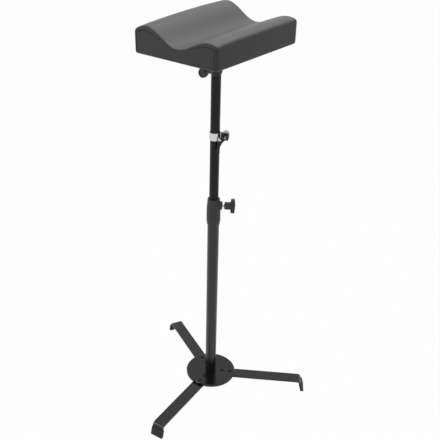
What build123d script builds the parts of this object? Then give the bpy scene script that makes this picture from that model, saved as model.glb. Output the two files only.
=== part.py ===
from build123d import *
import math
import os

# Tripod arm rest: a wave-shaped pad that tilts on a height-adjustable post.
# The origin is on the post's axis at floor level, +Z is up and the right leg lies along +X.
# All sizes are in millimetres and all angles in degrees.

# Base plate and legs
base_radius = 75
base_thickness = 8
base_top = 45
base_edge = 1.5
leg_width = 36
leg_thickness = 4
leg_inner_end = 24
leg_corner = 277.5
leg_bend_radius = 10
leg_tip_lean = 15
leg_foot_end = 5
leg_headings = {"right": 0, "back": 121, "front": 243}
leg_screw_radii = (36, 61)

# Foot caps
cap_height = 24
cap_front_wall = 3
cap_side_wall = 1.5
cap_back_wall = 2.5
cap_corner = 2
cap_groove_height = 12.5
cap_groove_size = 1.8
cap_trim = 4

# Fasteners: shank and head radii
m5_radius = 2.5
m6_radius = 3
m6_head_radius = 5.6
m6_head_height = 3.3
m6_nut_flats = 10
m6_nut_height = 5
screw_tail = 2
button_dome = 0.7
button_socket = 0.55
button_socket_floor = 0.45
thread_end_gap = 1
m8_radius = 4
m8_pitch_fit = 0.05
m10_radius = 5
m10_head_flats = 16
m10_head_height = 6.4
post_washer_radius = 12
post_washer_thickness = 2
post_bolt_grip = 24
hole_play = 0.2
seat_gap = 0.05
through = 50

# Tubes
lower_tube_radius = 16
upper_tube_radius = 12.5
tube_wall = 1.5
lower_tube_top = 614
upper_tube_bottom = 448
upper_tube_top = 990
insert_height = 30

# Guide ring on the foot of the upper tube
guide_play = 0.1
guide_length = 23.6
bead_height = 2
bead_step = 0.9
plug_flange = 3
plug_depth = 12

# Lock collar and its bush
collar_bottom = 567
collar_top = 645
collar_radius = 19
collar_foot_radius = 17.25
collar_rim_radius = 16.5
collar_rim_chamfer = 1
collar_taper_start = 579
collar_shoulder = 616
collar_lip = 3.8
bush_bottom = 577
bush_flange = 3
bush_play = 0.07

# Lock screw, its axis is along +X
lock_height = 624
boss_radius = 11.5
boss_end = 23.5
boss_round = 1
lock_insert_radius = 5.5
lock_insert_start = 15
lock_pad_start = 12.6
lock_pad_length = 3
lock_hub_start = 29
lock_hub_end = 46
lock_hub_radius = 10.4
lock_hub_round = 1.5
lock_wing_half = 19.5
lock_wing_depth = 12
lock_wing_width = 14
lock_wing_slope = 1.5
lock_wing_round = 2.2
lock_wing_chamfer = 2

# Height stop: a strap clamp on the upper tube, closed by a cam lever
stop_height = 822
strap_height = 20
strap_thickness = 1.2
liner_thickness = 0.5
liner_lip = 2
strap_slot_half = 1.5
ear_bolt_x = 27
ear_end_radius = 9
cam_radius = 7
cam_offset = 1
cam_gap = 0.3
cam_half_width = 8.5
cam_end_round = 3
cam_slot_half = 3.1
cam_slot_rise = 3
cam_notch_depth = 3
bolt_eye_radius = 4.5
bolt_eye_overlap = 3
cam_seat_radius = 9.3
cam_seat_reach = 11.6
clamp_washer_thickness = 3
nut_washer_radius = 7
lever_thickness = 5
lever_clearance = 15
lever_lean = 5.5
lever_root_ends = (-7.5, 2)
lever_root_height = -3
lever_tip_ends = (-21, -12.5)
lever_tip_height = -36
lever_tip_point = (-17, -40.5)
lever_outer_bow = (-8, -14)
lever_inner_bow = (-17, -16)
thumb_nut_radius = 9
thumb_nut_length = 13
thumb_nut_cap = 2
thumb_nut_chamfer = 1
thumb_nut_grooves = 12
thumb_nut_groove_radius = 1.3
thumb_nut_groove_rise = 0.6

# Tilt head
pad_heading = 56
tilt_height = 994
barrel_radius = 8.5
barrel_half = 18
weld_drop = 5
weld_height = 12
weld_width = 3
weld_throat = 1
friction_washer_thickness = 1.4
bracket_thickness = 3
bracket_half_length = 45
bracket_half_width = 36
bracket_corner = 6
ear_top_half = 20
ear_radius = 9
tilt_head_radius = 8
tilt_head_height = 4
tilt_head_dome = 0.8
tilt_washer_thickness = 1.6
tilt_neck_length = 18.5
tilt_neck_radius = 7.2
tilt_knob_radius = 11.8
tilt_knob_length = 12.5
tilt_knob_round = 3.5
tilt_knob_chamfer = 1.5
tilt_dish_radius = 6.5
tilt_dish_depth = 1
tilt_bolt_reach = 50
knob_flutes = 8
flute_radius = 3
flute_rise = 2

# Pad
pad_length = 302
pad_width = 244
pad_bottom = 1040
pad_corner = 8
pad_edge_round = 7
cover_thickness = 1.2
board_thickness = 12
board_inset = 5
hem_width = 25
wave_centre = -5
wave_valley = 30
front_hump = 59
back_hump = 71
hump_spacing = 184
wave_points = 17
bracket_screw_u = 34
bracket_screw_v = 26
t_nut_barrel = 4
t_nut_flange = 9
t_nut_flange_thickness = 1.2

upper_bore = upper_tube_radius - tube_wall
lower_bore = lower_tube_radius - tube_wall
base_bottom = base_top - base_thickness
leg_bottom = base_bottom - leg_thickness
leg_middle = base_bottom - leg_thickness / 2
board_bottom = pad_bottom + cover_thickness
plate_bottom = board_bottom - bracket_thickness
ear_start = barrel_half + friction_washer_thickness + 2 * seat_gap
ear_outer = ear_start + bracket_thickness
ear_face_y = strap_slot_half + strap_thickness
cam_seat_front = ear_face_y + clamp_washer_thickness
pin_y = -(cam_seat_front + cam_gap + cam_radius + cam_offset)

# Local frames: in tilt_frame and pad_frame X runs along the tilt axis towards the back and
# Y across the pad; in clamp_frame Y runs along the clamp bolt
tilt_frame = Pos(0, 0, tilt_height) * Rot(0, 0, pad_heading)
pad_frame = Pos(0, 0, pad_bottom) * Rot(0, 0, pad_heading)
clamp_frame = Pos(ear_bolt_x, 0, stop_height)


def tube(outer, inner, bottom, top):
    """Upright tube or ring about the Z axis."""
    low_end = (Align.CENTER, Align.CENTER, Align.MIN)
    ring = Cylinder(outer, top - bottom, align=low_end)
    ring -= Cylinder(inner, top - bottom, align=low_end)
    return Pos(0, 0, bottom) * ring


def rod(radius, start, end, across=0, height=0):
    """Solid cylinder along X from start to end."""
    low_end = (Align.CENTER, Align.CENTER, Align.MIN)
    bar = Cylinder(radius, end - start, align=low_end)
    return Pos(start, across, height) * Rot(0, 90, 0) * bar


def cross_rod(radius, start, end):
    """Solid cylinder along Y from start to end."""
    low_end = (Align.CENTER, Align.CENTER, Align.MIN)
    bar = Cylinder(radius, end - start, align=low_end)
    return Pos(0, start, 0) * Rot(-90, 0, 0) * bar


def post(radius, bottom, top):
    """Solid upright cylinder."""
    low_end = (Align.CENTER, Align.CENTER, Align.MIN)
    return Pos(0, 0, bottom) * Cylinder(radius, top - bottom, align=low_end)


def hexagon(flats, bottom, height):
    """Upright hexagonal prism."""
    outline = RegularPolygon(flats / 2, 6, major_radius=False)
    return Pos(0, 0, bottom) * extrude(outline, height)


def turned(points):
    """Solid of revolution about Z from (radius, height) points."""
    outline = make_face(Polyline(*[(r, 0, z) for r, z in points], close=True))
    return revolve(outline, Axis.Z)


def button_screw(radius, head_radius, head_height, length):
    """Button-head screw standing head up, with the head's seat at height zero."""
    head = post(head_radius, 0, head_height)
    head = fillet(head.edges().sort_by(Axis.Z)[-1], button_dome * head_height)
    socket = extrude(RegularPolygon(button_socket * radius, 6), head_height)
    head -= Pos(0, 0, button_socket_floor * head_height) * socket
    return head + post(radius, -length, 0)


# ---------------------------------------------------------------- base


def screw_places():
    """Places of the six leg screws, two on each leg."""
    return [Rot(0, 0, heading) * Pos(radius, 0, 0)
            for heading in leg_headings.values()
            for radius in leg_screw_radii]


def base_plate():
    """Round plate that carries the post and the three legs."""
    plate = post(base_radius, base_bottom, base_top)
    rim = plate.edges().filter_by(GeomType.CIRCLE).sort_by(Axis.Z)[-1]
    plate = chamfer(rim, base_edge)
    for place in screw_places():
        plate -= place * post(m6_radius + hole_play, base_bottom, base_top)
    return plate - post(m10_radius + hole_play, base_bottom, base_top)


def leg_centre_line():
    """Centre line of a leg: a flat run, a bend and a tip that leans outwards."""
    drop = leg_middle - leg_foot_end
    tip_x = leg_corner + drop * math.tan(math.radians(leg_tip_lean))
    return FilletPolyline(
        (leg_inner_end, 0, leg_middle),
        (leg_corner, 0, leg_middle),
        (tip_x, 0, leg_foot_end),
        radius=leg_bend_radius,
    )


def leg():
    """One leg along +X, bent from flat bar."""
    centre_line = leg_centre_line()
    section = Plane(centre_line @ 0, x_dir=(0, 1, 0), z_dir=centre_line % 0)
    bar = sweep(section * Rectangle(leg_width, leg_thickness), path=centre_line)
    for radius in leg_screw_radii:
        bar -= Pos(radius, 0, 0) * post(m6_radius + hole_play, leg_bottom, base_bottom)
    inner_corners = bar.edges().filter_by(Axis.Z).group_by(Axis.X)[0]
    return chamfer(inner_corners, leg_thickness)


def foot_cap(bar):
    """Moulded rubber cap on the tip of one leg, flat on the floor, with a groove round it."""
    depth = leg_thickness + cap_back_wall + cap_front_wall
    width = leg_width + 2 * cap_side_wall
    low_end = (Align.CENTER, Align.CENTER, Align.MIN)
    body = Box(depth, width, cap_height + cap_trim, align=low_end)
    body = fillet(body.edges().filter_by(Axis.Z), cap_corner)
    body = chamfer(body.faces().sort_by(Axis.Z)[-1].edges(), cap_corner / 2)
    band = Box(depth, width, cap_groove_size)
    band -= Box(depth - cap_groove_size, width - cap_groove_size, cap_groove_size)
    body -= Pos(0, 0, cap_groove_height + cap_trim) * band
    tip_floor = -leg_middle / math.cos(math.radians(leg_tip_lean)) - cap_trim
    tip_frame = Pos(leg_corner, 0, leg_middle) * Rot(0, -leg_tip_lean, 0)
    body = tip_frame * Pos((cap_front_wall - cap_back_wall) / 2, 0, tip_floor) * body
    return split(body, bisect_by=Plane.XY, keep=Keep.TOP) - bar


def leg_screws():
    """Six button-head screws through the plate and the legs."""
    length = base_top - leg_bottom + m6_nut_height + screw_tail
    screw = button_screw(m6_radius, m6_head_radius, m6_head_height, length)
    return [place * Pos(0, 0, base_top) * screw for place in screw_places()]


def leg_nuts():
    """Six nuts under the legs."""
    nut = hexagon(m6_nut_flats, leg_bottom - m6_nut_height, m6_nut_height)
    nut -= post(m6_radius, leg_bottom - m6_nut_height, leg_bottom)
    return [place * nut for place in screw_places()]


def post_washer():
    """Large washer under the base plate."""
    bottom = base_bottom - post_washer_thickness
    return tube(post_washer_radius, m10_radius + hole_play, bottom, base_bottom)


def post_bolt():
    """Bolt from below into the foot of the post."""
    head_top = base_bottom - post_washer_thickness
    head = hexagon(m10_head_flats, head_top - m10_head_height, m10_head_height)
    return head + post(m10_radius, head_top, base_top + post_bolt_grip)


def post_insert():
    """Threaded plug welded into the foot of the lower tube."""
    return tube(lower_bore, m10_radius, base_top, base_top + insert_height)


def lower_tube():
    """Fixed lower tube of the post."""
    return tube(lower_tube_radius, lower_bore, base_top, lower_tube_top)


# ---------------------------------------------------------------- lock collar


def lock_collar():
    """Moulded collar on the head of the lower tube, with a boss for the lock screw."""
    seat_top = lower_tube_top + bush_flange
    lip_bottom = collar_top - collar_lip
    body = turned([
        (0, collar_bottom),
        (collar_foot_radius, collar_bottom),
        (collar_radius, collar_taper_start),
        (collar_radius, collar_shoulder),
        (collar_rim_radius, collar_top - collar_rim_chamfer),
        (collar_rim_radius - collar_rim_chamfer, collar_top),
        (0, collar_top),
    ])
    boss = rod(boss_radius, 0, boss_end, height=lock_height)
    boss = fillet(boss.faces().sort_by(Axis.X)[-1].edges(), boss_round)
    body += boss
    body -= post(lower_tube_radius, collar_bottom, seat_top)
    body -= post(lower_bore, seat_top, lip_bottom)
    body -= post(upper_tube_radius + 2 * hole_play, lip_bottom, collar_top)
    body -= rod(lock_insert_radius, lock_insert_start, boss_end, height=lock_height)
    return body - rod(m8_radius + hole_play, 0, boss_end, height=lock_height)


def collar_bush():
    """Plastic bush that guides the upper tube inside the collar."""
    bore = upper_tube_radius + bush_play
    bush = tube(lower_bore, bore, bush_bottom, collar_top - collar_lip)
    bush += tube(lower_tube_radius, bore, lower_tube_top, lower_tube_top + bush_flange)
    return bush - rod(m8_radius + hole_play, 0, lower_tube_radius, height=lock_height)


def lock_insert():
    """Brass thread insert in the collar's boss."""
    sleeve = rod(lock_insert_radius, lock_insert_start, boss_end, height=lock_height)
    return sleeve - rod(m8_radius + m8_pitch_fit, 0, boss_end, height=lock_height)


def lock_pressure_pad():
    """Brass pad between the lock screw and the upper tube."""
    end = lock_pad_start + lock_pad_length
    return rod(m8_radius, lock_pad_start, end, height=lock_height)


def lock_screw():
    """Threaded stud that is moulded into the lock knob."""
    start = lock_pad_start + lock_pad_length + 2 * seat_gap
    return rod(m8_radius, start, lock_hub_end, height=lock_height)


def lock_knob():
    """T-shaped wing knob: a round hub and a squared cross piece that widens to its ends."""
    hub = rod(lock_hub_radius, lock_hub_start, lock_hub_end + lock_wing_depth / 2)
    hub = fillet(hub.faces().sort_by(Axis.X)[0].edges(), lock_hub_round)
    end = lock_hub_end + lock_wing_depth
    cross_outline = Polyline(
        (lock_hub_end - lock_wing_slope, 0),
        (lock_hub_end, -lock_wing_half),
        (end - lock_wing_slope, -lock_wing_half),
        (end, 0),
        (end - lock_wing_slope, lock_wing_half),
        (lock_hub_end, lock_wing_half),
        close=True,
    )
    wings = extrude(Plane.XZ * make_face(cross_outline), lock_wing_width / 2, both=True)
    wings = fillet(wings.edges().filter_by(Axis.Y), lock_wing_round)
    wings = chamfer(wings.faces().filter_by(Axis.Y).edges(), lock_wing_chamfer)
    knob = Pos(0, 0, lock_height) * (hub + wings)
    return knob - rod(m8_radius, lock_hub_start, lock_hub_end, height=lock_height)


# ---------------------------------------------------------------- upper tube


def tilt_barrel_core():
    """Solid cylinder of the tilt barrel, before it is bored."""
    return tilt_frame * rod(barrel_radius, -barrel_half, barrel_half)


def upper_tube():
    """Sliding upper tube with a rolled bead above the guide ring and a saddle-cut head."""
    bead_bottom = upper_tube_bottom + guide_length + 4 * seat_gap + hole_play
    bead_top = bead_bottom + bead_height
    body = tube(upper_tube_radius, upper_bore, upper_tube_bottom, upper_tube_top)
    bead = tube(upper_tube_radius + bead_step, upper_bore, bead_bottom, bead_top)
    body += chamfer(bead.faces().sort_by(Axis.Z)[-1].edges().sort_by(SortBy.LENGTH)[-1], bead_step / 2)
    return body - tilt_barrel_core()


def tube_plug():
    """End plug in the foot of the upper tube; its flange holds the guide ring on."""
    plug = post(upper_bore, upper_tube_bottom, upper_tube_bottom + plug_depth)
    flange_radius = upper_tube_radius + bead_step
    return plug + post(flange_radius, upper_tube_bottom - plug_flange, upper_tube_bottom)


def guide_ring():
    """Loose plastic ring that centres the upper tube's foot in the lower tube."""
    bottom = upper_tube_bottom + hole_play
    bore = upper_tube_radius + seat_gap
    return tube(lower_bore - guide_play, bore, bottom, bottom + guide_length)


def tilt_barrel():
    """Cross barrel welded on the upper tube, with the weld fillet round the joint."""
    weld_top = tilt_height - weld_drop
    weld_bottom = weld_top - weld_height
    weld = turned([
        (0, weld_bottom),
        (upper_tube_radius + hole_play, weld_bottom),
        (upper_tube_radius + weld_width, weld_top - weld_width),
        (upper_tube_radius + weld_width - weld_throat, weld_top),
        (0, weld_top),
    ])
    weld -= post(upper_tube_radius, weld_bottom, weld_top)
    body = tilt_barrel_core() + weld
    return body - tilt_frame * rod(m8_radius + 2 * seat_gap, -barrel_half, barrel_half)


# ---------------------------------------------------------------- height stop


def stop_liner():
    """Thin plastic liner between the strap and the tube."""
    bore = upper_tube_radius + seat_gap
    bottom = stop_height - strap_height / 2 - liner_lip
    return tube(bore + liner_thickness, bore, bottom, bottom + strap_height + 2 * liner_lip)


def stop_strap():
    """Sheet-metal strap with two ears that the clamp bolt pulls together."""
    inner = upper_tube_radius + liner_thickness + 2 * seat_gap
    low = stop_height - strap_height / 2
    ring = tube(inner + strap_thickness, inner, low, low + strap_height)
    ring -= Pos(inner, 0, stop_height) * Box(inner, 2 * strap_slot_half, strap_height)
    outline = Polyline(
        (inner + strap_thickness / 2, -strap_height / 2),
        (ear_bolt_x, -ear_end_radius),
        (ear_bolt_x, ear_end_radius),
        (inner + strap_thickness / 2, strap_height / 2),
        close=True,
    )
    ear_face = make_face(outline) + Pos(ear_bolt_x, 0) * Circle(ear_end_radius)
    ear_face -= Pos(ear_bolt_x, 0) * Circle(m5_radius + hole_play)
    ear = Pos(0, 0, stop_height) * extrude(Plane.XZ * ear_face, strap_thickness)
    return ring + Pos(0, -strap_slot_half, 0) * ear + Pos(0, strap_slot_half + strap_thickness, 0) * ear


def cam_seat():
    """Plastic seat on the strap's ear that the cam lever presses on."""
    block = Polyline(
        (-cam_seat_reach, -cam_seat_radius),
        (0, -cam_seat_radius),
        (0, cam_seat_radius),
        (-cam_seat_reach, cam_seat_radius),
        close=True,
    )
    outline = make_face(block) + Circle(cam_seat_radius) - Circle(m5_radius + hole_play)
    seat = extrude(Plane.XZ.offset(ear_face_y + seat_gap) * outline, clamp_washer_thickness - seat_gap)
    return clamp_frame * seat


def clamp_bolt():
    """Clamp bolt with an eye for the cam lever's pin."""
    thread_end = ear_face_y + clamp_washer_thickness + thumb_nut_length - thumb_nut_cap - thread_end_gap
    eye = Pos(0, pin_y, 0) * rod(bolt_eye_radius, hole_play - cam_slot_half, cam_slot_half - hole_play)
    shank = cross_rod(m5_radius, pin_y + bolt_eye_overlap, thread_end)
    pin_hole = Pos(0, pin_y, 0) * rod(m5_radius + seat_gap, -cam_slot_half, cam_slot_half)
    return clamp_frame * (eye + shank - pin_hole)


def cam_pin():
    """Cross pin that the cam lever turns on."""
    return clamp_frame * Pos(0, pin_y, 0) * rod(m5_radius, -cam_half_width, cam_half_width)


def lever_blade():
    """Face view of the lever's arm: it leaves the cam head and sweeps down beside the tube."""
    root_inner, root_outer = [(x, lever_root_height) for x in lever_root_ends]
    tip_inner, tip_outer = [(x, lever_tip_height) for x in lever_tip_ends]
    outer_edge = ThreePointArc(root_outer, lever_outer_bow, tip_outer)
    tip = ThreePointArc(tip_outer, lever_tip_point, tip_inner)
    inner_edge = ThreePointArc(tip_inner, lever_inner_bow, root_inner)
    return make_face([outer_edge, tip, inner_edge, Line(root_inner, root_outer)])


def clamp_lever():
    """Cam lever: two eccentric cheeks either side of the bolt's eye, and a curved arm."""
    cheeks = rod(cam_radius, -cam_half_width, cam_half_width)
    cheeks = Pos(0, cam_offset, 0) * fillet(cheeks.edges().filter_by(GeomType.CIRCLE), cam_end_round)
    back_y = -lever_clearance - pin_y
    arm = extrude(Plane.XZ.offset(-back_y) * lever_blade(), lever_thickness)
    slot = Box(2 * cam_slot_half, through, through, align=(Align.CENTER, Align.CENTER, Align.MIN))
    slot = Pos(0, 0, cam_slot_rise - cam_radius) * slot
    notch = Box(2 * cam_slot_half, through, through, align=(Align.CENTER, Align.MIN, Align.CENTER))
    body = cheeks + Rot(-lever_lean, 0, 0) * arm - slot - Pos(0, -cam_notch_depth, 0) * notch
    return clamp_frame * Pos(0, pin_y, 0) * (body - rod(m5_radius, -cam_half_width, cam_half_width))


def nut_washer():
    """Washer under the thumb nut."""
    start = ear_face_y + seat_gap
    disc = cross_rod(nut_washer_radius, start, start + clamp_washer_thickness)
    disc -= cross_rod(m5_radius + 2 * seat_gap, start, start + clamp_washer_thickness)
    return clamp_frame * disc


def thumb_nut():
    """Round thumb nut with grip flutes on the clamp bolt."""
    start = ear_face_y + clamp_washer_thickness + 3 * seat_gap
    end = start + thumb_nut_length
    body = cross_rod(thumb_nut_radius, start, end)
    body = chamfer(body.edges().filter_by(GeomType.CIRCLE), thumb_nut_chamfer)
    groove = cross_rod(thumb_nut_groove_radius, start, end)
    groove = Pos(0, 0, thumb_nut_radius + thumb_nut_groove_rise) * groove
    for step in range(thumb_nut_grooves):
        body -= Rot(0, 360 * step / thumb_nut_grooves, 0) * groove
    body -= cross_rod(m5_radius + seat_gap, start, end - thumb_nut_cap)
    return clamp_frame * body


# ---------------------------------------------------------------- tilt head


def friction_washers():
    """Two nylon washers between the barrel and the bracket's ears."""
    start = barrel_half + seat_gap
    disc = rod(barrel_radius, start, start + friction_washer_thickness)
    disc -= rod(m8_radius, start, start + friction_washer_thickness)
    return [tilt_frame * disc, tilt_frame * Rot(0, 0, 180) * disc]


def tilt_bracket():
    """Bracket: a mounting plate under the pad board with two ears welded beside the barrel."""
    rise = plate_bottom - tilt_height
    ear_outline = Polyline(
        (-ear_radius, 0),
        (-ear_top_half, rise),
        (ear_top_half, rise),
        (ear_radius, 0),
        close=True,
    )
    ear_face = make_face(ear_outline) + Circle(ear_radius)
    ear = extrude(Plane.YZ * ear_face, bracket_thickness)
    outline = RectangleRounded(2 * bracket_half_length, 2 * bracket_half_width, bracket_corner)
    body = Pos(0, 0, rise) * extrude(outline, bracket_thickness)
    body += Pos(ear_start, 0, 0) * ear
    body += Pos(-ear_outer, 0, 0) * ear
    body -= rod(m8_radius, -ear_outer, ear_outer)
    for place in bracket_screw_places():
        body -= place * post(m6_radius + hole_play, rise, rise + bracket_thickness)
    return tilt_frame * body


def bracket_screw_places():
    """Places of the four screws in the bracket's plate, in the tilt frame."""
    return [Pos(u, v, 0)
            for u in (-bracket_screw_u, bracket_screw_u)
            for v in (-bracket_screw_v, bracket_screw_v)]


def bracket_screws():
    """Four button-head screws up through the plate into the pad board."""
    length = bracket_thickness + board_thickness - screw_tail
    screw = Rot(180, 0, 0) * button_screw(m6_radius, m6_head_radius, m6_head_height, length)
    seat = plate_bottom - tilt_height
    return [tilt_frame * place * Pos(0, 0, seat) * screw for place in bracket_screw_places()]


def board_nuts():
    """Four flanged T-nuts sunk in the pad board."""
    bottom = board_bottom - tilt_height
    top = bottom + board_thickness
    nut = tube(t_nut_barrel, m6_radius, bottom, top)
    nut += tube(t_nut_flange, m6_radius, top - t_nut_flange_thickness, top)
    return [tilt_frame * place * nut for place in bracket_screw_places()]


def tilt_bolt():
    """Carriage bolt through the ears and the barrel, with its domed head at the back."""
    head = rod(tilt_head_radius, ear_outer, ear_outer + tilt_head_height)
    head = fillet(head.faces().sort_by(Axis.X)[-1].edges(), tilt_head_dome * tilt_head_height)
    return tilt_frame * (head + rod(m8_radius, -tilt_bolt_reach, ear_outer))


def tilt_washer():
    """Washer under the tilt knob."""
    start = ear_outer + seat_gap
    disc = rod(tilt_head_radius, start, start + tilt_washer_thickness)
    disc -= rod(m8_radius + 2 * seat_gap, start, start + tilt_washer_thickness)
    return tilt_frame * Rot(0, 0, 180) * disc


def tilt_knob():
    """Round fluted knob with a narrow neck, threaded on the tilt bolt."""
    start = ear_outer + tilt_washer_thickness + 2 * seat_gap
    grip_start = start + tilt_neck_length
    grip_end = grip_start + tilt_knob_length
    body = rod(tilt_knob_radius, grip_start, grip_end)
    body = fillet(body.faces().sort_by(Axis.X)[-1].edges(), tilt_knob_round)
    body = chamfer(body.faces().sort_by(Axis.X)[0].edges(), tilt_knob_chamfer)
    body -= rod(tilt_dish_radius, grip_end - tilt_dish_depth, grip_end)
    flute = rod(flute_radius, grip_start, grip_end, height=tilt_knob_radius + flute_rise)
    for step in range(knob_flutes):
        body -= Rot(360 * step / knob_flutes, 0, 0) * flute
    body += rod(tilt_neck_radius, start, grip_start)
    body -= rod(m8_radius + m8_pitch_fit, start, tilt_bolt_reach + thread_end_gap)
    return tilt_frame * Rot(0, 0, 180) * body


# ---------------------------------------------------------------- pad


def wave_height(across):
    """Height of the pad's top over its bottom, at a distance across the pad."""
    offset = across - wave_centre
    hump = back_hump if offset > 0 else front_hump
    rise = (1 - math.cos(2 * math.pi * offset / hump_spacing)) / 2
    return wave_valley + (hump - wave_valley) * rise


def wave_block(inset, bottom):
    """Wave-topped block, inset from the pad's outside and rising from bottom."""
    half = pad_width / 2 - inset
    reach = pad_length / 2 - inset
    across = [-half + 2 * half * step / (wave_points - 1) for step in range(wave_points)]
    top = Spline(*[(y, wave_height(y) - inset) for y in across])
    right = Line((half, wave_height(half) - inset), (half, bottom))
    base = Line((half, bottom), (-half, bottom))
    left = Line((-half, bottom), (-half, wave_height(-half) - inset))
    profile = Sketch() + make_face([top, right, base, left])
    profile = fillet(profile.vertices().sort_by(Axis.Y)[2:], pad_edge_round - inset)
    block = extrude(Plane.YZ * profile, reach, both=True)
    return fillet(block.edges().filter_by(Axis.Z), pad_corner - inset)


def board_slab():
    """The pad board before it is drilled, in the pad's frame."""
    outline = RectangleRounded(pad_length - 2 * board_inset, pad_width - 2 * board_inset, pad_corner)
    return Pos(0, 0, cover_thickness) * extrude(outline, board_thickness)


def pad_board():
    """Plywood board that carries the foam."""
    board = pad_frame * board_slab()
    for nut in board_nuts():
        board -= nut
    low = board_bottom - tilt_height
    for place in bracket_screw_places():
        board -= tilt_frame * place * post(t_nut_barrel, low, low + board_thickness)
    return board


def pad_foam():
    """Moulded foam block with an arm trough between two rounded humps; it wraps the board's edge."""
    return pad_frame * (wave_block(cover_thickness, cover_thickness) - board_slab())


def pad_cover():
    """Synthetic leather cover, pulled over the foam and folded under the board."""
    skin = wave_block(0, 0) - wave_block(cover_thickness, cover_thickness)
    window = RectangleRounded(pad_length - 2 * hem_width, pad_width - 2 * hem_width, pad_corner)
    return pad_frame * (skin - extrude(window, cover_thickness))


# ---------------------------------------------------------------- output


def write(name, shapes):
    """Write one node as a STEP file; a list becomes a group of separate solids."""
    solids = []
    for shape in shapes if isinstance(shapes, list) else [shapes]:
        solids.extend(shape.solids())
    node = solids[0] if len(solids) == 1 else Compound(children=solids)
    node.label = name
    export_step(node, f"parts/{name}.step")


def main():
    """Build every piece and write it to the parts folder."""
    os.makedirs("parts", exist_ok=True)
    bar = leg()
    cap = foot_cap(bar)
    for side, heading in leg_headings.items():
        write(f"leg_{side}", Rot(0, 0, heading) * bar)
        write(f"foot_cap_{side}", Rot(0, 0, heading) * cap)
    for piece in (base_plate, leg_screws, leg_nuts, post_washer, post_bolt, post_insert, lower_tube,
                  lock_collar, collar_bush, lock_insert, lock_pressure_pad, lock_screw, lock_knob,
                  guide_ring, upper_tube, tube_plug, tilt_barrel,
                  stop_liner, stop_strap, cam_seat, clamp_bolt, cam_pin, clamp_lever,
                  nut_washer, thumb_nut,
                  friction_washers, tilt_bracket, bracket_screws, board_nuts, tilt_bolt,
                  tilt_washer, tilt_knob, pad_board, pad_foam, pad_cover):
        write(piece.__name__, piece())


main()
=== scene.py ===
import math

import bmesh
import bpy
from mathutils import Matrix, Vector, noise


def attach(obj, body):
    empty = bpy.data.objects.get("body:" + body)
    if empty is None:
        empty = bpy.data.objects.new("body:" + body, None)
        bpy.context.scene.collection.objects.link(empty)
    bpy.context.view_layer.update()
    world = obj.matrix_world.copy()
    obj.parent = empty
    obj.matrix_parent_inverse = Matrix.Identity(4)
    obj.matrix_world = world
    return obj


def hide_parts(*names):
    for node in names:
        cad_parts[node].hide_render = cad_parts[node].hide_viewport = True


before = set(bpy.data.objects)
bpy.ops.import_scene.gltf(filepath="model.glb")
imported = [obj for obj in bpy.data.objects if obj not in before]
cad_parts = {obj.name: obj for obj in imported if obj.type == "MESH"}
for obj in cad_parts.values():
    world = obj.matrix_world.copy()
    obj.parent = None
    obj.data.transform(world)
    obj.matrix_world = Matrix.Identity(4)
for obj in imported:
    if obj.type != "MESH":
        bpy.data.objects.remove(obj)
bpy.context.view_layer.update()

# Looks of the tripod arm rest. All lengths are in metres, in the frame of the CAD model.

scene = bpy.context.scene

# ---------------------------------------------------------------- camera

AZIMUTH = math.radians(98.17)
PITCH = math.radians(32.756)
ROLL = math.radians(0.756)
CAMERA_PLACE = Vector((0.1355, -1.6327, 1.4832))
CAMERA_SENSOR = 36
CAMERA_LENS = 55.975
CAMERA_SHIFT = (0.09529, 0.10418)
CAMERA_REACH = 100


def make_camera():
    """Camera at the photograph's viewing angle."""
    flat = math.cos(PITCH)
    forward = Vector((math.cos(AZIMUTH) * flat, math.sin(AZIMUTH) * flat, -math.sin(PITCH)))
    level = forward.cross(Vector((0, 0, 1))).normalized()
    below = forward.cross(level)
    right = math.cos(ROLL) * level + math.sin(ROLL) * below
    down = -math.sin(ROLL) * level + math.cos(ROLL) * below
    turn = Matrix((right, -down, -forward)).transposed().to_4x4()
    data = bpy.data.cameras.new("camera")
    data.sensor_width = CAMERA_SENSOR
    data.lens = CAMERA_LENS
    data.shift_x, data.shift_y = CAMERA_SHIFT
    data.clip_end = CAMERA_REACH
    camera = bpy.data.objects.new("camera", data)
    camera.matrix_world = Matrix.Translation(CAMERA_PLACE) @ turn
    scene.collection.objects.link(camera)
    scene.camera = camera


# ---------------------------------------------------------------- materials


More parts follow.
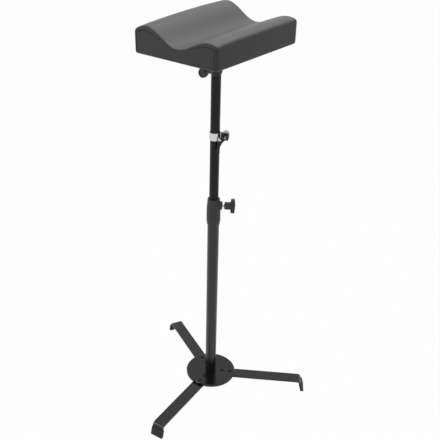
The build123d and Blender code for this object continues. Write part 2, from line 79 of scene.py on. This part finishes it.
class Nodes:
    """Small builder for one node material."""

    def __init__(self, name, roughness, metallic=0.0, specular=0.5):
        self.material = bpy.data.materials.new(name)
        self.material.use_nodes = True
        self.tree = self.material.node_tree
        self.shader = self.tree.nodes["Principled BSDF"]
        self.shader.inputs["Roughness"].default_value = roughness
        self.shader.inputs["Metallic"].default_value = metallic
        self.shader.inputs["Specular IOR Level"].default_value = specular
        self.coordinates = self.tree.nodes.new("ShaderNodeTexCoord")

    def link(self, source, target):
        self.tree.links.new(source, target)

    def place(self, scale=(1, 1, 1), rotation=(0, 0, 0)):
        """Object coordinates, turned and then scaled."""
        vector = self.coordinates.outputs["Object"]
        for socket, values in (("Rotation", rotation), ("Scale", scale)):
            mapping = self.tree.nodes.new("ShaderNodeMapping")
            mapping.inputs[socket].default_value = values
            self.link(vector, mapping.inputs["Vector"])
            vector = mapping.outputs["Vector"]
        return vector

    def noise(self, scale, detail=3.0, rough=0.5, where=None, distortion=0.0):
        """Noise from 0 to 1, over plain object coordinates where no others are given."""
        node = self.tree.nodes.new("ShaderNodeTexNoise")
        node.inputs["Scale"].default_value = scale
        node.inputs["Detail"].default_value = detail
        node.inputs["Roughness"].default_value = rough
        node.inputs["Distortion"].default_value = distortion
        self.link(where or self.place(), node.inputs["Vector"])
        return node.outputs["Fac"]

    def cells(self, scale, feature="F1", smooth=None):
        """Distance to the nearest of many scattered points."""
        node = self.tree.nodes.new("ShaderNodeTexVoronoi")
        node.feature = feature
        node.inputs["Scale"].default_value = scale
        if smooth is not None:
            node.inputs["Smoothness"].default_value = smooth
        self.link(self.place(), node.inputs["Vector"])
        return node.outputs["Distance"]

    def ramp(self, value, stops):
        """Colour ramp: stops are (position, grey or colour)."""
        node = self.tree.nodes.new("ShaderNodeValToRGB")
        ramp = node.color_ramp
        while len(ramp.elements) < len(stops):
            ramp.elements.new(0.5)
        for element, (position, colour) in zip(ramp.elements, stops):
            element.position = position
            if not hasattr(colour, "__len__"):
                colour = (colour, colour, colour)
            element.color = (*colour, 1)
        self.link(value, node.inputs["Fac"])
        return node.outputs["Color"]

    def math(self, operation, first, second):
        """Math node on two values, each of them a socket or a number."""
        node = self.tree.nodes.new("ShaderNodeMath")
        node.operation = operation
        for socket, value in zip(node.inputs, (first, second)):
            if hasattr(value, "is_linked"):
                self.link(value, socket)
            else:
                socket.default_value = value
        return node.outputs["Value"]

    def mixed(self, first, second, share):
        """Weighted mean of two values: share is the first one's weight."""
        main = self.math("MULTIPLY", first, share)
        rest = self.math("MULTIPLY", second, 1 - share)
        return self.math("ADD", main, rest)

    def scaled(self, value, low, high):
        """Maps a 0 to 1 value onto low to high."""
        node = self.tree.nodes.new("ShaderNodeMapRange")
        node.inputs["To Min"].default_value = low
        node.inputs["To Max"].default_value = high
        self.link(value, node.inputs["Value"])
        return node.outputs["Result"]

    def colour(self, value):
        self.link(value, self.shader.inputs["Base Color"])

    def roughness(self, value, low, high):
        self.link(self.scaled(value, low, high), self.shader.inputs["Roughness"])

    def bump(self, layers):
        """Chained bumps: each layer is (height, depth in metres, strength)."""
        normal = None
        for height, depth, strength in layers:
            node = self.tree.nodes.new("ShaderNodeBump")
            node.inputs["Distance"].default_value = depth
            node.inputs["Strength"].default_value = strength
            self.link(height, node.inputs["Height"])
            if normal is not None:
                self.link(normal, node.inputs["Normal"])
            normal = node.outputs["Normal"]
        self.link(normal, self.shader.inputs["Normal"])


def vinyl_material():
    """Dark grey synthetic leather with a fine pebbled grain and a soft sheen."""
    m = Nodes("synthetic_leather", 0.46, specular=0.28)
    cloud = m.noise(9, 4, 0.6)
    m.colour(m.ramp(cloud, [(0.3, (0.086, 0.084, 0.0845)), (0.7, (0.1, 0.098, 0.0985))]))
    fine = m.noise(520, 3, 0.6)
    m.roughness(m.mixed(cloud, fine, 0.5), 0.36, 0.56)
    pebble = m.cells(760, "SMOOTH_F1", 0.6)
    crease = m.noise(34, 5, 0.62)
    m.bump([(crease, 0.004, 0.05), (pebble, 0.00028, 0.35), (fine, 0.0002, 0.2)])
    return m.material


def paint_material(name, low, high, rough, specular, peel):
    """Black paint between two greys: fine orange peel, faint dust and handling marks."""
    m = Nodes(name, 0.42, specular=specular)
    cloud = m.noise(26, 5, 0.6)
    m.colour(m.ramp(cloud, [(0.3, low), (0.72, high)]))
    skin = m.noise(620, 2, 0.4)
    scuff = m.noise(1, 6, 0.7, m.place((40, 40, 260)))
    m.roughness(m.mixed(cloud, scuff, 0.45), *rough)
    m.bump([(skin, 0.0004, peel), (m.noise(2400, 2), 0.0001, 0.25)])
    return m.material


def tube_material(name, low, high, specular):
    """Black coated tube between two greys, with faint lengthwise draw marks."""
    m = Nodes(name, 0.3, specular=specular)
    streak = m.noise(1, 4, 0.6, m.place((620, 620, 5)))
    broad = m.noise(1, 3, 0.5, m.place((150, 150, 3)))
    both = m.mixed(streak, broad, 0.6)
    m.colour(m.ramp(both, [(0.36, low), (0.64, high)]))
    m.roughness(both, 0.16, 0.32)
    m.bump([(streak, 0.0003, 0.25), (m.noise(700, 2, 0.4), 0.0002, 0.2)])
    return m.material


def plastic_material():
    """Black moulded plastic with a fine spark-eroded texture."""
    m = Nodes("moulded_plastic", 0.5)
    cloud = m.noise(45, 4, 0.6)
    m.colour(m.ramp(cloud, [(0.3, 0.017), (0.7, 0.024)]))
    grain = m.noise(2600, 2, 0.6)
    m.roughness(m.mixed(cloud, grain, 0.6), 0.38, 0.6)
    m.bump([(grain, 0.00016, 0.5)])
    return m.material


def rubber_material():
    """Black rubber, matte with a fine bloom."""
    m = Nodes("rubber", 0.68, specular=0.4)
    bloom = m.noise(60, 6, 0.7)
    m.colour(m.ramp(bloom, [(0.3, 0.048), (0.75, 0.068)]))
    m.roughness(bloom, 0.55, 0.8)
    m.bump([(m.noise(1800, 3, 0.7), 0.0002, 0.5)])
    return m.material


def metal_material(name, low, high, rough, brush=(900, 900, 900), depth=0.00012, strength=0.35):
    """Bare metal: low and high are colours, brush gives the direction of its marks."""
    m = Nodes(name, sum(rough) / 2, metallic=1.0)
    marks = m.noise(1, 3, 0.6, m.place(brush))
    tarnish = m.noise(90, 5, 0.65)
    m.colour(m.ramp(tarnish, [(0.3, low), (0.7, high)]))
    m.roughness(m.mixed(marks, tarnish, 0.6), *rough)
    m.bump([(marks, depth, strength)])
    return m.material


def nylon_material():
    """Natural nylon."""
    m = Nodes("nylon", 0.45)
    cloud = m.noise(120, 3)
    m.colour(m.ramp(cloud, [(0.3, (0.62, 0.6, 0.54)), (0.7, (0.7, 0.68, 0.62))]))
    m.roughness(cloud, 0.35, 0.55)
    m.bump([(m.noise(1500, 2), 0.0001, 0.3)])
    return m.material


def plywood_material():
    """Birch plywood: long grain on the face and plies at the edge."""
    m = Nodes("plywood", 0.62)
    grain = m.noise(1, 6, 0.65, m.place((30, 260, 700), (0, 0, -PAD_HEADING)), 0.6)
    m.colour(m.ramp(grain, [(0.3, (0.36, 0.22, 0.11)), (0.5, (0.5, 0.33, 0.18)), (0.75, (0.6, 0.43, 0.26))]))
    m.roughness(grain, 0.5, 0.75)
    m.bump([(grain, 0.0004, 0.4)])
    return m.material


def foam_material():
    """Open-cell foam."""
    m = Nodes("foam", 0.9, specular=0.2)
    cell = m.cells(900)
    m.colour(m.ramp(cell, [(0.0, (0.55, 0.5, 0.36)), (0.6, (0.75, 0.7, 0.55))]))
    m.roughness(cell, 0.8, 0.95)
    m.bump([(cell, 0.0006, 0.7)])
    return m.material


# ---------------------------------------------------------------- pad

# The pad's own frame: u along the wave's crests, v across them, w up from the cover's underside.
PAD_HEADING = math.radians(56)
PAD_TURN = Matrix.Translation((0, 0, 1.040)) @ Matrix.Rotation(PAD_HEADING, 4, "Z")
PAD_LENGTH = 0.302
PAD_WIDTH = 0.244

# The wave at mid length, how much it rises along u, and how much its humps fall off to both ends.
WAVE_CENTRE = -0.005
HUMP_SPACING = 0.183
VALLEY = 0.0330
FRONT_HUMP = 0.0618
BACK_HUMP = 0.0744
VALLEY_RISE = 0.018
FRONT_RISE = 0.012
BACK_RISE = 0.0275
FRONT_CROWN = 0.08
BACK_CROWN = 0.165

# Rounding of the ends, and reach of the blending at the section's corners. The reach passes from
# the low one to the top one over BLEND_RISE, from half of that height upwards.
END_ROLL = 0.0045
TOP_BLEND = 0.007
LOW_BLEND = 0.0055
BLEND_RISE = 0.02
FINE_STEP = 0.0005
FINE_SIDE_STEPS = 110
TINY = 1e-9

# Mesh lines: close together at the seams, even between them.
SEAM_INSETS = (0.0025, 0.0045, 0.0058, 0.0071, 0.009)
SEAM_LOOP = 3
FOLD_LOOP = 2
EVEN_SIDE_STEPS = 12
EVEN_TOP_STEPS = 52
SIDE_STEPS = EVEN_SIDE_STEPS + 2 * len(SEAM_INSETS)
TOP_STEPS = EVEN_TOP_STEPS + 2 * len(SEAM_INSETS)
LENGTH_STEPS = 78
ROLL_STEPS = 3

# How firmly the foam holds the cover in the simulation: 1 is fixed, 0 is free.
LOW_HOLD_HEIGHT = 0.006
TOP_BAND = 0.004
END_DEPTH = 0.04
TROUGH_HOLD = 0.35
END_HOLD = 0.1
SIDE_HOLD = 0.25
GUSSET_HOLD = 0.2

CLOTH_SETTINGS = {
    "quality": 6,
    "mass": 0.6,
    "tension_stiffness": 15,
    "compression_stiffness": 15,
    "shear_stiffness": 5,
    "bending_stiffness": 1.5,
    "use_pressure": True,
    "uniform_pressure_force": 4.0,
    "vertex_group_mass": "hold",
    "pin_stiffness": 0.6,
}
CLOTH_FRAMES = 20
SWELL_CAP = 0.0065

# Relief of the seams, and the hem under the board with the window that it leaves open.
SEAM_DEPTH = 0.0022
WELT_RISE = 0.0008
INNER_WELT = 0.4
FOLD_DEPTH = 0.0009
PUCKER_DEPTH = 0.00025
PUCKER_SCALE = 160
SEAM_FLOOR = 0.002
HEM_INNER_U = 0.126
HEM_INNER_V = 0.097
HEM_HEIGHT = 0.003
HEM_THICKNESS = 0.0011
DOWNWARD = -0.9


def crest(v):
    """How far up a hump a place across the pad lies: 0 in the trough, 1 on the hump."""
    return (1 - math.cos(2 * math.pi * (v - WAVE_CENTRE) / HUMP_SPACING)) / 2


def wave(u, v):
    """Height of the pad's top before the cover is inflated."""
    valley = VALLEY + VALLEY_RISE * u
    if v > WAVE_CENTRE:
        hump = BACK_HUMP + BACK_RISE * u - BACK_CROWN * u * u
    else:
        hump = FRONT_HUMP + FRONT_RISE * u - FRONT_CROWN * u * u
    return valley + (hump - valley) * crest(v)


def seam_places(length, even_steps):
    """Places along one side of the section: close together at the seams, even between them."""
    first = SEAM_INSETS[-1]
    even = [first + (length - 2 * first) * k / even_steps for k in range(even_steps + 1)]
    return [0.0, *SEAM_INSETS[:-1], *even, *(length - inset for inset in SEAM_INSETS[-2::-1]), length]


def even_places(length, steps):
    """Places along a line that are the same distance apart."""
    return [length * step / steps for step in range(steps + 1)]


def line_points(points, places, steps):
    """Points along an open polyline, where places(length, steps) puts them."""
    lengths = [0.0]
    for a, b in zip(points, points[1:]):
        lengths.append(lengths[-1] + (b - a).length)
    result = []
    index = 0
    for place in places(lengths[-1], steps):
        while index < len(points) - 2 and lengths[index + 1] < place:
            index += 1
        span = max(lengths[index + 1] - lengths[index], TINY)
        result.append(points[index].lerp(points[index + 1], (place - lengths[index]) / span))
    return result


def rounded_section(u):
    """Four sides of the pad's cross section as dense (v, w) points, with the corners blended."""
    half = PAD_WIDTH / 2
    count = round(PAD_WIDTH / FINE_STEP)
    low = [Vector((-half, 0)), Vector((half, 0))]
    top = [Vector((v, wave(u, v))) for v in (-half + PAD_WIDTH * k / count for k in range(count + 1))]
    sides = [
        line_points([low[0], top[0]], even_places, FINE_SIDE_STEPS),
        line_points(top, even_places, count),
        line_points([top[-1], low[1]], even_places, FINE_SIDE_STEPS),
        line_points([low[1], low[0]], even_places, count),
    ]
    loop = [point for side in sides for point in side[:-1]]
    size = len(loop)
    sums = [Vector((0, 0))]
    for k in range(3 * size):
        sums.append(sums[-1] + loop[k % size])
    smooth = []
    for k, point in enumerate(loop):
        share = min(1, max(0, point.y / BLEND_RISE - 0.5))
        reach = round((LOW_BLEND + (TOP_BLEND - LOW_BLEND) * share) / FINE_STEP)
        first = size + k - reach
        smooth.append((sums[first + 2 * reach + 1] - sums[first]) / (2 * reach + 1))
    breaks = [0]
    for side in sides:
        breaks.append(breaks[-1] + len(side) - 1)
    closed = smooth + [smooth[0]]
    return [closed[a:b + 1] for a, b in zip(breaks, breaks[1:])]


def section_ring(u, inset):
    """Ring of (v, w) mesh points round the section, moved inwards by inset."""
    counts = (EVEN_SIDE_STEPS, EVEN_TOP_STEPS, EVEN_SIDE_STEPS, EVEN_TOP_STEPS)
    ring = []
    for side, count in zip(rounded_section(u), counts):
        ring.extend(line_points(side, seam_places, count)[:-1])
    if inset <= 0:
        return ring
    moved = []
    for index, point in enumerate(ring):
        along = (ring[(index + 1) % len(ring)] - ring[index - 1]).normalized()
        moved.append(point + inset * Vector((along.y, -along.x)))
    return moved


def ring_rows():
    """Place along the pad and inset of each ring, from one rounded end to the other."""
    half = PAD_LENGTH / 2
    straight = half - END_ROLL
    roll = []
    for step in range(ROLL_STEPS):
        angle = math.pi / 2 * step / ROLL_STEPS
        roll.append((half - END_ROLL * (1 - math.cos(angle)), END_ROLL * (1 - math.sin(angle))))
    rows = [(-u, inset) for u, inset in roll]
    rows += [(-straight + 2 * straight * k / LENGTH_STEPS, 0) for k in range(LENGTH_STEPS + 1)]
    return rows + roll[::-1]


def end_panel(ring, points):
    """Grid of point numbers that fills one end ring. New points are added to points."""
    ring = ring + [ring[0]]
    left = ring[:SIDE_STEPS + 1]
    top = ring[SIDE_STEPS:SIDE_STEPS + TOP_STEPS + 1]
    right = ring[SIDE_STEPS + TOP_STEPS:2 * SIDE_STEPS + TOP_STEPS + 1][::-1]
    low = ring[2 * SIDE_STEPS + TOP_STEPS:][::-1]
    grid = [low]
    for row in range(1, SIDE_STEPS):
        t = row / SIDE_STEPS
        line = [left[row]]
        for column in range(1, TOP_STEPS):
            s = column / TOP_STEPS
            sides = (1 - s) * points[left[row]] + s * points[right[row]]
            across = (1 - t) * points[low[column]] + t * points[top[column]]
            corners = ((1 - s) * (1 - t) * points[low[0]] + s * (1 - t) * points[low[-1]]
                       + (1 - s) * t * points[top[0]] + s * t * points[top[-1]])
            line.append(len(points))
            points.append(sides + across - corners)
        grid.append(line + [right[row]])
    return grid + [top]


def new_mesh(name, points, faces):
    """Mesh with its faces turned outwards."""
    mesh = bpy.data.meshes.new(name)
    mesh.from_pydata([tuple(p) for p in points], [], faces)
    shell = bmesh.new()
    shell.from_mesh(mesh)
    bmesh.ops.recalc_face_normals(shell, faces=shell.faces)
    shell.to_mesh(mesh)
    shell.free()
    return mesh


def pad_shell():
    """Cover of the pad as one closed quad mesh, with its rings and its two end grids of point numbers."""
    points = []
    rings = []
    for u, inset in ring_rows():
        ring = section_ring(u, inset)
        rings.append(list(range(len(points), len(points) + len(ring))))
        points.extend(Vector((u, p.x, p.y)) for p in ring)
    size = len(rings[0])
    faces = []
    for first, second in zip(rings, rings[1:]):
        for k in range(size):
            faces.append((first[k], first[(k + 1) % size], second[(k + 1) % size], second[k]))
    ends = []
    for ring in (rings[0], rings[-1]):
        grid = end_panel(ring, points)
        ends.append(grid)
        for low, high in zip(grid, grid[1:]):
            for column in range(TOP_STEPS):
                faces.append((low[column], low[column + 1], high[column + 1], high[column]))
    return new_mesh("pad_leather_cover", points, faces), rings, ends


def hold_weight(point):
    """How firmly the foam holds the cover at a point: 1 is fixed, 0 is free."""
    u, v, w = point
    if w < LOW_HOLD_HEIGHT:
        return 1.0
    inside = max(0, min(PAD_LENGTH / 2 - abs(u), END_DEPTH)) / END_DEPTH
    if w > wave(u, v) - TOP_BAND:
        return TROUGH_HOLD * (1 - crest(v)) + END_HOLD * (1 - inside)
    return SIDE_HOLD if inside > 0 else GUSSET_HOLD


def inflate(cover):
    """Cloth simulation: the cover swells under the foam's pressure, and the result is copied back."""
    mesh = cover.data
    start = [vertex.co.copy() for vertex in mesh.vertices]
    group = cover.vertex_groups.new(name="hold")
    for vertex in mesh.vertices:
        group.add([vertex.index], hold_weight(vertex.co), "REPLACE")
    cloth = cover.modifiers.new("Cloth", "CLOTH")
    for name, value in CLOTH_SETTINGS.items():
        setattr(cloth.settings, name, value)
    cloth.settings.effector_weights.gravity = 0
    cloth.collision_settings.use_collision = False
    cloth.collision_settings.use_self_collision = False
    for number in range(1, CLOTH_FRAMES + 1):
        scene.frame_set(number)
    shaped = cover.evaluated_get(bpy.context.evaluated_depsgraph_get())
    moved = [vertex.co.copy() for vertex in shaped.data.vertices]
    cover.modifiers.remove(cloth)
    cover.vertex_groups.clear()
    scene.frame_set(1)
    for vertex, before, after in zip(mesh.vertices, start, moved):
        shift = after - before
        if shift.length > TINY:
            shift = shift.normalized() * SWELL_CAP * math.tanh(shift.length / SWELL_CAP)
        vertex.co = before + shift


def inset_loop(grid, inset):
    """Points of an end panel's grid that lie inset lines from its sides and top."""
    loop = {grid[SIDE_STEPS - inset][column] for column in range(inset, TOP_STEPS - inset + 1)}
    for row in range(1, SIDE_STEPS - inset):
        loop.update((grid[row][inset], grid[row][TOP_STEPS - inset]))
    return sorted(loop)


def name_seams(cover, rings, ends):
    """Vertex groups of the seams: cut first, then ridge, then the fold along the lower edge."""
    seam = cover.vertex_groups.new(name="seam")
    welt = cover.vertex_groups.new(name="welt")
    fold = cover.vertex_groups.new(name="fold")
    for ring in rings:
        fold.add([ring[FOLD_LOOP], ring[2 * SIDE_STEPS + TOP_STEPS - FOLD_LOOP]], 1.0, "REPLACE")
    for grid in ends:
        fold.add(grid[FOLD_LOOP], 1.0, "REPLACE")
        seam.add(inset_loop(grid, SEAM_LOOP), 1.0, "REPLACE")
        welt.add(inset_loop(grid, SEAM_LOOP - 1), 1.0, "REPLACE")
        welt.add(inset_loop(grid, SEAM_LOOP + 1), INNER_WELT, "REPLACE")


def subdivided(cover):
    """The cover's mesh after one subdivision, and each point's seam, welt and fold weights."""
    smooth = cover.modifiers.new("smooth", "SUBSURF")
    smooth.levels = smooth.render_levels = 1
    graph = bpy.context.evaluated_depsgraph_get()
    fine = bpy.data.meshes.new_from_object(cover.evaluated_get(graph), preserve_all_data_layers=True,
                                           depsgraph=graph)
    weights = [[0.0, 0.0, 0.0] for _ in fine.vertices]
    for vertex in fine.vertices:
        for share in vertex.groups:
            weights[vertex.index][share.group] = share.weight
    cover.modifiers.clear()
    return fine, weights


def press_seams(mesh, weights):
    """Cuts the seams in, raises their welts and folds the lower edge, with small puckers."""
    normals = [vertex.normal.copy() for vertex in mesh.vertices]
    for vertex, normal, (cut, ridge, crease) in zip(mesh.vertices, normals, weights):
        if vertex.co.z < SEAM_FLOOR:
            continue
        pucker = noise.noise(vertex.co * PUCKER_SCALE) * PUCKER_DEPTH
        relief = WELT_RISE * ridge - SEAM_DEPTH * cut - FOLD_DEPTH * crease
        vertex.co += normal * (relief + pucker * (cut + ridge))


def in_window(face):
    """Whether a face lies in the window under the board."""
    centre = face.calc_center_median()
    under = face.normal.z < DOWNWARD and centre.z < HEM_HEIGHT
    return under and abs(centre.x) < HEM_INNER_U and abs(centre.y) < HEM_INNER_V


def open_hem(mesh):
    """Cuts the window under the board and gives the hem its thickness."""
    shell = bmesh.new()
    shell.from_mesh(mesh)
    window = [face for face in shell.faces if in_window(face)]
    bmesh.ops.delete(shell, geom=window, context="FACES")
    rim = [edge for edge in shell.edges if edge.is_boundary]
    for item in bmesh.ops.extrude_edge_only(shell, edges=rim)["geom"]:
        if isinstance(item, bmesh.types.BMVert):
            item.co.z += HEM_THICKNESS
    bmesh.ops.recalc_face_normals(shell, faces=shell.faces)
    shell.to_mesh(mesh)
    shell.free()


def make_pad_cover():
    """The pad's cover: simulated, subdivided, then seamed and hemmed."""
    mesh, rings, ends = pad_shell()
    cover = bpy.data.objects.new("pad_leather_cover", mesh)
    scene.collection.objects.link(cover)
    inflate(cover)
    name_seams(cover, rings, ends)
    fine, weights = subdivided(cover)
    press_seams(fine, weights)
    cover.data = fine
    cover.vertex_groups.clear()
    open_hem(fine)
    for polygon in fine.polygons:
        polygon.use_smooth = True
    fine.transform(PAD_TURN)
    fine.update()
    fine.materials.clear()
    fine.materials.append(vinyl_material())
    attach(cover, "pad")
    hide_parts("pad_cover", "pad_foam")


# ---------------------------------------------------------------- dressing of the CAD nodes


def dress_cad(zinc):
    """Gives every CAD node a node material of its own kind."""
    bright_steel = metal_material("bright_strap", (0.54, 0.54, 0.53), (0.66, 0.66, 0.65), (0.16, 0.36),
                                  (90, 90, 2600))
    cast_zinc = metal_material("cast_zinc", (0.36, 0.36, 0.37), (0.5, 0.5, 0.51), (0.36, 0.55),
                               (700, 700, 700), 0.0002, 0.5)
    dull_steel = metal_material("dull_steel", (0.15, 0.15, 0.155), (0.24, 0.24, 0.245), (0.3, 0.5))
    black_steel = metal_material("black_oxide", (0.022, 0.022, 0.023), (0.04, 0.04, 0.042), (0.35, 0.55))
    brass = metal_material("brass", (0.62, 0.44, 0.18), (0.74, 0.56, 0.26), (0.22, 0.42))
    looks = (
        (paint_material("powder_coat", 0.017, 0.024, (0.22, 0.34), 0.33, 0.35),
         ("tilt_barrel", "clamp_lever", "tilt_bracket")),
        (paint_material("gloss_paint", 0.01, 0.015, (0.07, 0.16), 0.36, 0.35), ("base_plate",)),
        (paint_material("leg_paint", 0.006, 0.011, (0.08, 0.15), 0.43, 0.12),
         ("leg_right", "leg_back", "leg_front")),
        (tube_material("coated_tube", 0.014, 0.023, 0.5), ("lower_tube",)),
        # The upper tube's darker greys and weaker specular are painted shade and painted dark reflection from
        # the pad above it.
        (tube_material("coated_tube_painted_shade", 0.003, 0.009, 0.24), ("upper_tube",)),
        (plastic_material(),
         ("lock_collar", "lock_knob", "tube_plug", "cam_seat", "nut_washer", "tilt_knob")),
        (rubber_material(), ("foot_cap_right", "foot_cap_back", "foot_cap_front", "stop_liner")),
        (nylon_material(), ("collar_bush", "guide_ring", "friction_washers")),
        (zinc,
         ("post_washer", "post_bolt", "post_insert", "lock_screw", "board_nuts", "tilt_bolt", "tilt_washer")),
        (cast_zinc, ("thumb_nut",)),
        (bright_steel, ("stop_strap",)),
        (dull_steel, ("clamp_bolt",)),
        (black_steel, ("leg_screws", "leg_nuts", "cam_pin", "bracket_screws")),
        (brass, ("lock_insert", "lock_pressure_pad")),
        (plywood_material(), ("pad_board",)),
        (foam_material(), ("pad_foam", "pad_cover")),
    )
    for material, names in looks:
        for name in names:
            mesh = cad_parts[name].data
            mesh.materials.clear()
            mesh.materials.append(material)


# ---------------------------------------------------------------- small trim

# Thread crest on the bare length of the lock screw, which lies along +X. The root and the crest are
# measured from the radius, and the flank in pitches.
THREAD_START = Vector((0.0208, 0, 0.624))
THREAD_AXIS = Vector((1, 0, 0))
THREAD_RADIUS = 0.00398
THREAD_PITCH = 0.00125
THREAD_LENGTH = 0.0082
THREAD_STEPS = 24
THREAD_ROOT = -0.0003
THREAD_CREST = 0.0002
THREAD_FLANK = 0.42

# Half the length and half the width of a staple, the staples' spacing, how far they lie inside the
# pad's edge, and how much they differ in heading.
STAPLE_CROWN = 0.0055
STAPLE_WIRE = 0.00045
STAPLE_GAP = 0.026
STAPLE_LINE = 0.012
STAPLE_SKEW = 0.25
STAPLE_SEED = 7


def add_trim(name, body, points, faces, material):
    """Adds one small steel mesh that rides on a body."""
    mesh = new_mesh(name, points, faces)
    mesh.materials.append(material)
    item = bpy.data.objects.new(name, mesh)
    scene.collection.objects.link(item)
    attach(item, body)


def make_thread(material):
    """Raised helical thread crest on the bare part of the lock screw."""
    side = THREAD_AXIS.orthogonal().normalized()
    other = THREAD_AXIS.cross(side)
    turns = THREAD_LENGTH / THREAD_PITCH
    steps = round(turns * THREAD_STEPS)
    profile = ((THREAD_ROOT, -THREAD_FLANK), (THREAD_CREST, 0.0), (THREAD_ROOT, THREAD_FLANK))
    points = []
    faces = []
    for step in range(steps + 1):
        angle = 2 * math.pi * turns * step / steps
        out = math.cos(angle) * side + math.sin(angle) * other
        centre = THREAD_START + THREAD_AXIS * THREAD_LENGTH * step / steps
        for reach, rise in profile:
            points.append(centre + out * (THREAD_RADIUS + reach) + THREAD_AXIS * THREAD_PITCH * rise)
    for step in range(steps):
        for k in range(3):
            a = 3 * step + k
            b = 3 * step + (k + 1) % 3
            faces.append((a, b, b + 3, a + 3))
    last = 3 * steps
    faces += [(0, 2, 1), (last, last + 1, last + 2)]
    add_trim("lock_screw_thread", "lock_handle", points, faces, material)


def staple_places():
    """Centre of each staple along the hem, in the pad's frame, and whether it lies along v."""
    u_line = PAD_LENGTH / 2 - STAPLE_LINE
    v_line = PAD_WIDTH / 2 - STAPLE_LINE
    for line, reach, turned in ((v_line, u_line, False), (u_line, v_line, True)):
        count = round(2 * reach / STAPLE_GAP)
        for side in (-1, 1):
            for step in range(count + 1):
                along = -reach + 2 * reach * step / count
                yield ((side * line, along) if turned else (along, side * line)), turned


def make_staples(material):
    """Wire staples that hold the hem of the cover to the board."""
    noise.seed_set(STAPLE_SEED)
    points = []
    faces = []
    for (u, v), turned in staple_places():
        heading = (math.pi / 2 if turned else 0) + STAPLE_SKEW * (noise.random() - 0.5)
        long = Vector((math.cos(heading), math.sin(heading), 0)) * STAPLE_CROWN
        wide = Vector((-math.sin(heading), math.cos(heading), 0)) * STAPLE_WIRE
        first = len(points)
        for height in (-STAPLE_WIRE, 2 * STAPLE_WIRE):
            centre = Vector((u, v, height))
            points += [centre - long - wide, centre + long - wide, centre + long + wide, centre - long + wide]
        for face in ((0, 3, 2, 1), (4, 5, 6, 7), (0, 1, 5, 4), (1, 2, 6, 5), (2, 3, 7, 6), (3, 0, 4, 7)):
            faces.append(tuple(first + k for k in face))
    add_trim("hem_staples", "pad", [PAD_TURN @ p for p in points], faces, material)


# ---------------------------------------------------------------- studio

FLOOR_RADIUS = 30
FLOOR_SEGMENTS = 96
FLOOR_DROP = 0.0002
FLOOR_WHITE = 0.98
FLOOR_RAYS = ("Is Camera Ray", "Is Glossy Ray")
WORLD_RAYS = ("Is Camera Ray", "Is Glossy Ray", "Is Transmission Ray")
WORLD_LIGHT = 0.05
WHITE_STRENGTH = 1.0
LAMPS = (
    # name, place, target, size, power
    ("overhead", (0.45, 0.95, 3.0), (0, 0, 1.0), (2.2, 1.8), 40),
    ("front_fill", (0.5, -3.2, 1.0), (0, 0, 0.8), (0.3, 1.0), 5),
    ("left_fill", (-2.4, -1.4, 1.7), (0, 0, 0.7), (0.18, 1.2), 12),
)


def white_share(tree, rays):
    """1 for the named kinds of ray, which see plain white, and 0 for all others."""
    path = tree.nodes.new("ShaderNodeLightPath")
    share = path.outputs[rays[0]]
    for name in rays[1:]:
        either = tree.nodes.new("ShaderNodeMath")
        either.operation = "MAXIMUM"
        tree.links.new(share, either.inputs[0])
        tree.links.new(path.outputs[name], either.inputs[1])
        share = either.outputs["Value"]
    return share


def make_floor():
    """Floor that looks white to the camera and in reflections, with a faint trace of the shadow."""
    mesh = bpy.data.meshes.new("studio_floor")
    shell = bmesh.new()
    bmesh.ops.create_circle(shell, cap_ends=True, segments=FLOOR_SEGMENTS, radius=FLOOR_RADIUS)
    shell.to_mesh(mesh)
    shell.free()
    floor = bpy.data.objects.new("studio_floor", mesh)
    floor.location.z = -FLOOR_DROP
    scene.collection.objects.link(floor)
    m = Nodes("studio_floor", 0.9, specular=0.1)
    m.colour(m.ramp(m.noise(3), [(0.3, 0.42), (0.7, 0.44)]))
    glow = m.tree.nodes.new("ShaderNodeEmission")
    glow.inputs["Strength"].default_value = WHITE_STRENGTH
    mix = m.tree.nodes.new("ShaderNodeMixShader")
    m.link(m.math("MULTIPLY", white_share(m.tree, FLOOR_RAYS), FLOOR_WHITE), mix.inputs["Fac"])
    m.link(m.shader.outputs["BSDF"], mix.inputs[1])
    m.link(glow.outputs["Emission"], mix.inputs[2])
    m.link(mix.outputs["Shader"], m.tree.nodes["Material Output"].inputs["Surface"])
    mesh.materials.append(m.material)


def make_world():
    """White surroundings, which are far dimmer as a light on the object."""
    world = bpy.data.worlds.new("studio")
    world.use_nodes = True
    tree = world.node_tree
    background = tree.nodes["Background"]
    background.inputs["Color"].default_value = (1, 1, 1, 1)
    strength = tree.nodes.new("ShaderNodeMapRange")
    strength.inputs["To Min"].default_value = WORLD_LIGHT
    strength.inputs["To Max"].default_value = WHITE_STRENGTH
    tree.links.new(white_share(tree, WORLD_RAYS), strength.inputs["Value"])
    tree.links.new(strength.outputs["Result"], background.inputs["Strength"])
    scene.world = world


def make_lamp(name, place, target, size, power):
    """Soft rectangular lamp that points at a target."""
    data = bpy.data.lights.new(name, "AREA")
    data.shape = "RECTANGLE"
    data.size, data.size_y = size
    data.energy = power
    lamp = bpy.data.objects.new(name, data)
    lamp.location = place
    lamp.rotation_euler = (Vector(target) - Vector(place)).to_track_quat("-Z", "Y").to_euler()
    scene.collection.objects.link(lamp)


make_camera()
zinc_plate = metal_material("zinc_plate", (0.55, 0.56, 0.58), (0.68, 0.69, 0.71), (0.22, 0.42))
dress_cad(zinc_plate)
make_pad_cover()
make_thread(zinc_plate)
make_staples(zinc_plate)
make_floor()
make_world()
for lamp in LAMPS:
    make_lamp(*lamp)
scene.view_settings.view_transform = "Standard"
scene.frame_set(1)
